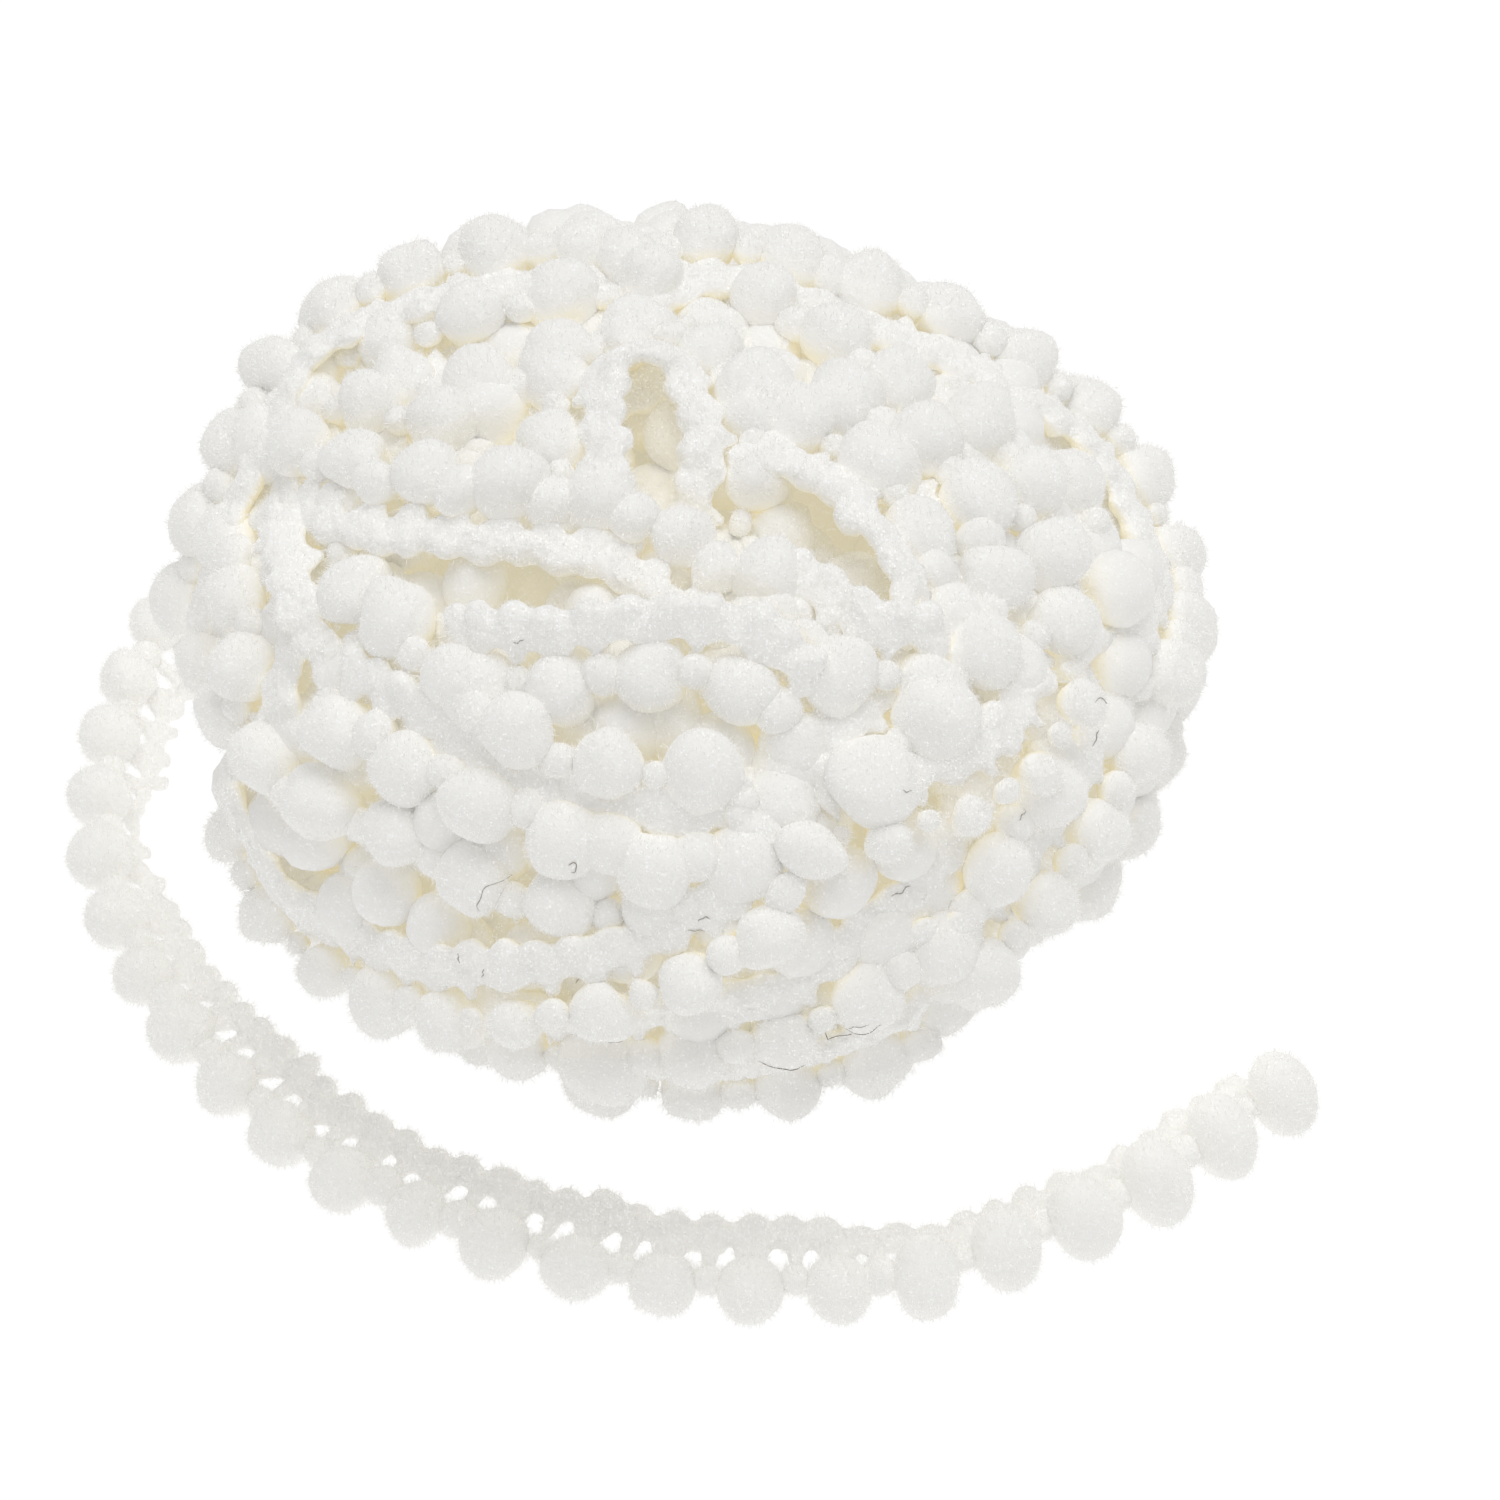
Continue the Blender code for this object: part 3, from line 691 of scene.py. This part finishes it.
def makeChenille(name, rough, kind, glowing):
    # Polyester microfibre chenille, crocheted and heat set: dull, velvety and fine grained, with
    # a few bright filaments, painted as glints: small white spots that glow. Light goes deep into
    # it, so that its shading is soft; where a place is shut in, shade and light are painted into
    # it as a warm colour and a glow. The loose fibres of its pile have no bumps of their own: they
    # are made with rough at 0.
    material, tree = newMaterial(name)
    bumps = {key: {"Strength": strength, "Distance": height * rough * metre}
             for key, (strength, height) in chenille["bumps"].items()}
    place = addNode(tree, "ShaderNodeTexCoord").outputs["Object"]
    shut = addNode(tree, "ShaderNodeAttribute", {"attribute_name": "shut"})
    # painted shade and painted glow of deep places, by how shut in a place is
    paintedDeepMix = addNode(tree, "ShaderNodeMapRange",
                   {"From Min": chenille["paintedDeepFrom"], "From Max": chenille["paintedDeepTo"]},
                   {"Value": shut.outputs["Fac"]})
    between = addNode(tree, "ShaderNodeMapRange",
                      {"From Min": chenille["softFrom"], "From Max": chenille["softTo"]},
                      {"Value": shut.outputs["Fac"]})
    openGlow, softGlow, deepGlow = [(*light, 1.0) for light in chenille["glow"][glowing]]
    # painted light: emission that grows from the open to places between pompoms, then to deep places
    filled = addNode(tree, "ShaderNodeMix", {"data_type": "RGBA", 6: openGlow, 7: softGlow},
                     {"Factor": between.outputs["Result"]})
    glow = addNode(tree, "ShaderNodeMix", {"data_type": "RGBA", 7: deepGlow},
                   {"Factor": paintedDeepMix.outputs["Result"], 6: filled.outputs[2]})
    grain = addNode(tree, "ShaderNodeTexNoise",
                    {"Scale": 1000 / chenille["grain"], "Detail": 2.0, "Roughness": 0.6},
                    {"Vector": place})
    tuft = addNode(tree, "ShaderNodeTexNoise",
                   {"Scale": 1000 / chenille["tuft"], "Detail": 3.0, "Roughness": 0.55},
                   {"Vector": place})
    # painted shade: the surface colour turns to the warm tint where a place is shut in
    base = addNode(tree, "ShaderNodeMix",
                   {"data_type": "RGBA", 6: colour(chenille["surface"]), 7: colour(chenille["deep"])},
                   {"Factor": paintedDeepMix.outputs["Result"]})
    shade = addNode(tree, "ShaderNodeMapRange",
                    {"From Min": 0.3, "From Max": 0.7, "To Min": chenille["grainShade"]},
                    {"Value": grain.outputs["Fac"]})
    grained = addNode(tree, "ShaderNodeMix",
                      {"data_type": "RGBA", "blend_type": "MULTIPLY", 0: 1.0},
                      {6: base.outputs[2], 7: shade.outputs["Result"]})
    # painted glints: a few small cells turn white and glow
    cells = addNode(tree, "ShaderNodeTexVoronoi", {"Scale": 1000 / chenille["sparkle"]},
                    {"Vector": place})
    near = addNode(tree, "ShaderNodeMath", {"operation": "LESS_THAN", 1: chenille["sparkleSize"]},
                   {0: cells.outputs["Distance"]})
    chosen = addNode(tree, "ShaderNodeSeparateColor", links={"Color": cells.outputs["Color"]})
    picked = addNode(tree, "ShaderNodeMath", {"operation": "LESS_THAN", 1: chenille["sparkleShare"][kind]},
                     {0: chosen.outputs["Red"]})
    spark = addNode(tree, "ShaderNodeMath", {"operation": "MULTIPLY"},
                    {0: near.outputs[0], 1: picked.outputs[0]})
    final = addNode(tree, "ShaderNodeMix", {"data_type": "RGBA", 7: (1.0, 1.0, 1.0, 1.0)},
                    {"Factor": spark.outputs[0], 6: grained.outputs[2]})
    shine = addNode(tree, "ShaderNodeMix",
                    {"data_type": "RGBA", 7: (*[chenille["sparkleGlow"]] * 3, 1.0)},
                    {"Factor": spark.outputs[0], 6: glow.outputs[2]})
    slow = addNode(tree, "ShaderNodeBump", bumps["tuft"], {"Height": tuft.outputs["Fac"]})
    if kind == "braid":
        knots = addNode(tree, "ShaderNodeTexVoronoi",
                        {"feature": "SMOOTH_F1", "Scale": 1000 / chenille["knots"], "Smoothness": 0.4},
                        {"Vector": place})
        slow = addNode(tree, "ShaderNodeBump", {"invert": True, **bumps["knots"]},
                       {"Height": knots.outputs["Distance"], "Normal": slow.outputs["Normal"]})
    fine = addNode(tree, "ShaderNodeBump", bumps["grain"],
                   {"Height": grain.outputs["Fac"], "Normal": slow.outputs["Normal"]})
    shader = addNode(tree, "ShaderNodeBsdfPrincipled",
                     {"Roughness": 0.95, "Specular IOR Level": 0.25, "Sheen Weight": 0.25,
                      "Sheen Roughness": 0.5, "Emission Strength": 1.0},
                     {"Base Color": final.outputs[2], "Normal": fine.outputs["Normal"],
                      "Emission Color": shine.outputs[2]})
    addNode(tree, "ShaderNodeOutputMaterial", links={"Surface": shader.outputs[0]})
    material.cycles.emission_sampling = "NONE"      # the glow is too faint to light anything
    return material


def makeHair():
    # Stray hairs and lint caught in the pile: thin, dark grey brown.
    material, tree = newMaterial("strayHair")
    shader = addNode(tree, "ShaderNodeBsdfPrincipled",
                     {"Base Color": colour("#857b6d"), "Roughness": 0.6})
    addNode(tree, "ShaderNodeOutputMaterial", links={"Surface": shader.outputs[0]})
    return material


def makeSweep():
    # Seamless white paper under bright, even light.
    material, tree = newMaterial("whitePaperSweep")
    paper = addNode(tree, "ShaderNodeBsdfDiffuse", {"Color": colour("#ffffff")})
    glow = addNode(tree, "ShaderNodeEmission", {"Strength": sweep["glow"]})
    both = addNode(tree, "ShaderNodeMixShader", {0: sweep["glowShare"]},
                   {1: paper.outputs[0], 2: glow.outputs[0]})
    addNode(tree, "ShaderNodeOutputMaterial", links={"Surface": both.outputs[0]})
    return material


# ---- the wound ball

def topHeights(spots, centres, radii):      # how high the laid trim stands over spots of the ball
    ground, out = lifted(spots, 0.0), outward(spots)
    tops = np.full(len(spots), -20.0)
    for start in range(0, len(centres), 200):
        arms = centres[None, start:start + 200] - ground[:, None]
        rise = np.einsum("ijk,ik->ij", arms, out)
        left = radii[None, start:start + 200] ** 2 - (np.sum(arms ** 2, axis=2) - rise ** 2)
        tops = np.maximum(tops, np.where(left > 0, rise + np.sqrt(np.maximum(left, 0)), -20).max(axis=1))
    return tops


stuff = {
    "tries": 3000,
    # layers of pompoms that show between the rows: their lift, and how far the trim may stand
    # above them before they would be hidden
    "layers": [(-3.6, 2.6), (-8.6, 8.0)],
    "spacing": 5.6,
    "strays": 0.7,             # how far their lifts differ
    "sizes": (0.92, 1.12),     # against the radius of a pompom
    "toppedBy": 1.5,           # how far the order of placing strays from lowest first
    # where the winding stays open: longitude, latitude, reach, depth
    "hollows": [(312, 72, 13, 6), (160, 84, 9, 7)],
}


def stuffing(laid):                    # pompoms of deeper turns that show between the outermost rows
    count = stuff["tries"]
    i = np.arange(count)
    z = 1 - (2 * i + 1) / count
    golden = math.pi * (3 - math.sqrt(5)) * i
    wide = np.sqrt(1 - z ** 2)
    spots = np.stack([wide * np.cos(golden), wide * np.sin(golden), z], axis=1)
    tops = topHeights(spots, np.vstack(laid[0]), np.concatenate(laid[1]))
    sunk = np.zeros(count)
    for longitude, latitude, reach, depth in stuff["hollows"]:
        angle = np.degrees(np.arccos(np.clip(spots @ direction(longitude, latitude), -1, 1)))
        sunk += depth * np.exp(-(angle / reach) ** 2)
    order = np.argsort(tops - dice.uniform(0, stuff["toppedBy"], count))
    centres, outs = np.full((1, 3), 999.0), []
    for lift, cover in stuff["layers"]:
        points = lifted(spots, lift - sunk + dice.normal(0, stuff["strays"], count))
        for i in order[tops[order] < lift + cover]:
            if np.linalg.norm(centres - points[i], axis=1).min() > stuff["spacing"]:
                centres = np.vstack([centres, points[i]])
                outs.append(outward(spots[i]))
    out = np.array(outs)
    aside = unit(np.cross(out, dice.normal(0, 1, out.shape)))
    axes = np.stack([aside, np.cross(out, aside), out], axis=1)
    radii = trim["pomRadius"] * dice.uniform(*stuff["sizes"], (len(out), 3))
    return centres[1:], axes, radii


def shadeBalls(strips, stuffed):       # balls that stand for the trim where shade is worked out
    places, sizes = [stuffed], [np.full(len(stuffed), trim["pomRadius"])]
    for strip in strips:
        row = strip["points"][strip["places"] == 0]
        braid = (strip["points"] + strip["beside"] * winding["braidShade"])[::8]
        places += [row, braid]
        sizes += [np.full(len(row), trim["pomRadius"]),
                  np.full(len(braid), winding["braidBall"])]
    return np.vstack(places), np.concatenate(sizes)


# ---- stray hairs

strays = {
    "clear": 0.05,             # above the trim
    "steps": 18,
    "sway": (28, 11),          # how far a hair sways to either side in degrees, and how quickly
    "dropped": 12,             # how far above the ball's form its height is looked for
    # longitude and latitude of the middle, length, heading, how far it turns, radius
    "hairs": [(279, -9, 5.0, 0, 10, 0.04), (286, -11, 5.4, 4, 10, 0.04), (287, -4, 5.8, 20, 25, 0.035),
              (287, -2, 2.4, 30, -60, 0.025), (256, 26, 2.2, -60, -250, 0.035),
              (246, 18, 4.4, 70, -120, 0.03), (244, 6, 1.3, -80, 20, 0.035),
              (247, 5, 1.4, -95, -20, 0.035), (262, 0, 1.8, 10, 60, 0.03), (295, 16, 2.4, 5, 30, 0.035),
              (271, 19, 1.4, 20, -90, 0.035), (270, 17, 2.0, -8, 10, 0.025),
              (326, 28, 3.8, -50, -70, 0.035), (328, 20, 2.5, 12, -40, 0.04),
              (206, 57, 2.0, -25, 30, 0.03), (198, 65, 1.2, -30, 0, 0.03), (240, 51, 1.2, 40, 30, 0.03),
              (262, 46, 1.0, 80, 40, 0.03), (296, 33, 1.4, -20, 60, 0.03), (256, -1, 1.2, 60, 50, 0.03),
              (311, 21, 1.5, 10, -30, 0.03), (228, 10, 1.3, -70, 30, 0.03)],
}


def layHairs(surface, finish):         # each lies across the tops of the trim below it
    tree = BVHTree.FromPolygons(surface[0].tolist(), surface[1])
    points, faces = [], []
    part = np.linspace(-0.5, 0.5, strays["steps"])
    sway, waves = strays["sway"]
    for longitude, latitude, length, heading, turn, radius in strays["hairs"]:
        spot = direction(longitude, latitude)
        out = outward(spot)
        east = unit(np.cross([0.0, 0.0, 1.0], out))
        angle = np.radians(heading + turn * part + sway * np.sin(part * waves + longitude))
        steps = np.outer(np.cos(angle), east) + np.outer(np.sin(angle), np.cross(out, east))
        path = np.cumsum(steps, axis=0) * length / strays["steps"]
        path += lifted(spot, 0.0) - path.mean(axis=0)
        top = strays["dropped"]
        heights = np.array([top - (tree.ray_cast((point + out * top).tolist(), (-out).tolist())[3] or top)
                            for point in path])
        heights = np.maximum(smoothed(heights, 2), heights) + strays["clear"]
        path += out * heights[:, None]
        thick = radius * np.sqrt(np.maximum(1.05 - (2 * part) ** 4, 0.05))
        start = len(points) * 4
        for place, ahead, size in zip(path, headings(path), thick):
            aside = unit(np.cross(ahead, out)) * size
            above = np.cross(unit(aside), ahead) * size
            points.append([place + aside, place + above, place - aside, place - above])
        for i in range(start, start + 4 * (strays["steps"] - 1), 4):
            faces += [[i + k, i + (k + 1) % 4, i + 4 + (k + 1) % 4, i + 4 + k] for k in range(4)]
    points = np.array(points).reshape(-1, 3)
    addPiece("strayHairs", points, faces, finish, "wound_ball", np.zeros(len(points)))


dressed = {
    "backFrom": 22,            # rows behind this y, or below the next height, are made plainer
    "lowBelow": 14,
    "voxel": 0.62,
    "quickVoxel": 0.95,
    # fibres for each point of a surface
    "fibres": {"ballPompoms": 4.8, "ballBraidLeft": 1.6, "ballBraidRight": 1.6, "ballBack": 0.8,
               "ballBackBraid": 0.8, "ballStuffing": 0},
    "pileUpTo": 1.8,           # they stand where it is less shut in than this, and faces outwards
    "turnedIn": -0.2,
    "coreLift": -12.5,         # the plain form that closes the view between the turns
    "coreAbove": 1.0,          # and how far its underside is above the floor
    # painted shade and light: the core takes the warm colour and glow of a place this shut in
    "coreShut": 3.0,           # how shut in it is taken to be
}


def dressBall(soft, braidSoft, pileFinish):
    strips, laid = windBall()
    report("wound", len(strips), "strips")
    stuffed = stuffing(laid)
    report(len(stuffed[0]), "pompoms stuffed in")
    shading = shadeBalls(strips, stuffed[0])
    front, back = [], []
    for strip in strips:
        middleY, middleZ = strip["points"][:, 1].mean(), strip["points"][:, 2].mean()
        hidden = middleY > dressed["backFrom"] or middleZ < dressed["lowBelow"]
        (back if hidden else front).append(strip)
    half = len(front) // 2
    voxel = dressed["voxel"]

    def dress(name, parts, balls=()):
        finish = soft if balls else braidSoft
        _, points, normals, shut = dressing(name, parts, balls, shading, finish, "wound_ball")
        if dressed["fibres"][name]:
            facing = np.sum(normals * outward(spotUnder(points)), axis=1)
            seen = (shut < dressed["pileUpTo"]) & (facing > dressed["turnedIn"])
            addPile(name + "Pile", points[seen], normals[seen], shut[seen], dressed["fibres"][name],
                    pileFinish, "wound_ball")

    frontParts, frontBalls = pomRow(front, "front")
    backParts, backBalls = pomRow(back, "back")
    balls = frontBalls + backBalls + [(stuffed[0], stuffed[2].mean(axis=1))]
    dress("ballPompoms", frontParts, balls)
    left = [part for strip in front[:half] for part in softBraid(strip, voxel)]
    right = [part for strip in front[half:] for part in softBraid(strip, voxel)]
    dress("ballBraidLeft", left)
    dress("ballBraidRight", right)
    layHairs(joined(frontParts + left + right), makeHair())
    dress("ballBack", backParts, balls)
    dress("ballBackBraid", [part for strip in back for part in plainBraid(strip)])
    dress("ballStuffing", [blobs(*stuffed, trim["detail"]["stuffed"], trim["lumps"]["stuffed"])], balls)

    directions, quads = quadSphere(24)
    core = lifted(directions, dressed["coreLift"])
    core[:, 2] = np.maximum(core[:, 2], dressed["coreAbove"])
    addPiece("ballCore", core, quads.tolist(), soft, "wound_ball",
             np.full(len(core), dressed["coreShut"]))


# ---- the loose end

looseEnd = {
    # stops of the pompom row: x, y, height, and the angle at which the braid lies beside it
    "stops": [(-30, 40.5, 3.4, -10), (-38, 41.5, 3.4, -20), (-50, 41, 3.4, -25),
              (-59.8, 32.2, 3.4, -35), (-63.8, 14, 3.4, -42), (-62.8, -2, 3.4, -40),
              (-57.8, -16.5, 3.4, -25), (-48, -31, 3.4, -12), (-36, -42.9, 3.4, -5),
              (-21.4, -50.6, 3.4, -2), (-5, -55.9, 3.4, 0), (11.7, -57, 3.4, -4),
              (20.4, -56.3, 4.1, -20), (28.5, -53.6, 4.5, -30), (44.4, -45.2, 4.5, -32),
              (58, -33.8, 4.5, -32)],
    "tallFrom": 15.0,          # past this x the pompoms are drawn out upwards
    "tallness": 1.38,
    "leanWander": 5,           # degrees
    "size": 0.95,              # of its pompoms, against those of the ball
    "squash": 0.6,             # they are rounder than those of the ball
    "voxel": 0.5,
    "fibres": {"loosePompoms": 3.6, "looseBraid": 1.6},
    "width": 11.75,            # from the pompoms' outer side to the scalloped edge
    # The flat area, against width by length. It is an estimate: as the strip is made
    # here, all its yarn covers 0.78 of that, and the braid alone 0.39.
    "cover": 0.6,
}


def layLooseEnd():
    stops = np.array(looseEnd["stops"], float)
    curve = smoothRoute(stops)
    steps = trim["stepsPerPitch"]
    pitches = round(reachedAlong(curve)[-1] / trim["pitch"])
    spacing = reachedAlong(curve)[-1] / (pitches * steps)
    rows = readAt(curve, np.arange(pitches * steps + 1) * spacing)
    points = rows[:, :3]
    along = headings(points)
    out = np.array([0.0, 0.0, 1.0])
    across = unit(np.cross(out, along))
    tilt = np.radians(rows[:, 3] + wander(len(rows), 7, looseEnd["leanWander"]))[:, None]
    beside = across * np.cos(tilt) + out * np.sin(tilt)
    face = unit(out * np.cos(tilt) - across * np.sin(tilt))
    places = np.arange(len(rows)) % steps
    tall = np.where(points[:, 0] > looseEnd["tallFrom"], looseEnd["tallness"], 1.0)
    return {"name": "looseEnd", "size": looseEnd["size"], "squash": looseEnd["squash"],
            "points": points, "face": face, "beside": beside, "places": places, "spacing": spacing,
            "tall": smoothed(tall, 3)}


def dressLooseEnd(soft, braidSoft, pileFinish):
    strip = layLooseEnd()
    shading = shadeBalls([strip], np.zeros((0, 3)))
    row, balls = pomRow([strip], "loose")
    braidParts = softBraid(strip, looseEnd["voxel"])
    for name, parts, near in (("loosePompoms", row, balls), ("looseBraid", braidParts, ())):
        finish = soft if near else braidSoft
        piece, points, normals, shut = dressing(name, parts, near, shading, finish, "loose_end")
        addPile(name + "Pile", points, normals, shut, looseEnd["fibres"][name],
                              pileFinish, "loose_end")
    length = strip["spacing"] * (len(strip["points"]) - 1) * metre
    report("loose end", round(length / metre), "mm long")


# ---- floor, light and camera

sweep = {"size": 4.0, "glow": 1.05, "glowShare": 0.88}
light = {
    "world": 0.53,
    # place, size and power of each soft box
    "boxes": [((0.14, 0.24, 1.35), 1.2, 6.9), ((-0.15, -0.6, 0.9), 0.9, 0.8)],
}
camera = {"place": (5.0, -308.54, 360.72), "tilt": 42.0, "lens": 108.0}


def setStage():
    mesh = bpy.data.meshes.new("floor")
    half = sweep["size"] / 2
    mesh.from_pydata([(-half, -half, 0), (half, -half, 0), (half, half, 0), (-half, half, 0)], [],
                     [(0, 1, 2, 3)])
    mesh.materials.append(makeSweep())
    floor = bpy.data.objects.new("floor", mesh)
    bpy.context.scene.collection.objects.link(floor)

    world = bpy.data.worlds.new("studio")
    world.use_nodes = True
    world.node_tree.nodes["Background"].inputs["Color"].default_value = (1, 1, 1, 1)
    world.node_tree.nodes["Background"].inputs["Strength"].default_value = light["world"]
    bpy.context.scene.world = world
    for i, (place, size, power) in enumerate(light["boxes"]):
        lamp = bpy.data.lights.new("softBox" + str(i + 1), "AREA")
        lamp.shape = "DISK"
        lamp.size = size
        lamp.energy = power
        box = bpy.data.objects.new(lamp.name, lamp)
        box.location = place
        aim = -np.array(place)
        box.rotation_euler = (math.atan2(math.hypot(aim[0], aim[1]), -aim[2]), 0,
                              math.atan2(-aim[0], aim[1]))
        bpy.context.scene.collection.objects.link(box)

    lens = bpy.data.cameras.new("camera")
    lens.lens = camera["lens"]
    lens.sensor_width = 36.0
    lens.clip_start = 0.01
    view = bpy.data.objects.new("camera", lens)
    view.location = [value * metre for value in camera["place"]]
    view.rotation_euler = (math.radians(camera["tilt"]), 0, 0)
    bpy.context.scene.collection.objects.link(view)
    bpy.context.scene.camera = view
    bpy.context.scene.view_settings.view_transform = "Standard"


setStage()
dressBall(makeChenille("microfibreChenille", 1.0, "pompoms", "pompoms"),
          makeChenille("microfibreBraid", 1.0, "braid", "braid"),
          makeChenille("microfibrePile", 0.0, "pompoms", "pompoms"))
# The loose end's copies of the chenille differ only in their painted light, a brighter glow
dressLooseEnd(makeChenille("looseMicrofibreChenille", 1.0, "pompoms", "loose"),
              makeChenille("looseMicrofibreBraid", 1.0, "braid", "loose"),
              makeChenille("looseMicrofibrePile", 0.0, "pompoms", "loose"))
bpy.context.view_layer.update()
report("done")
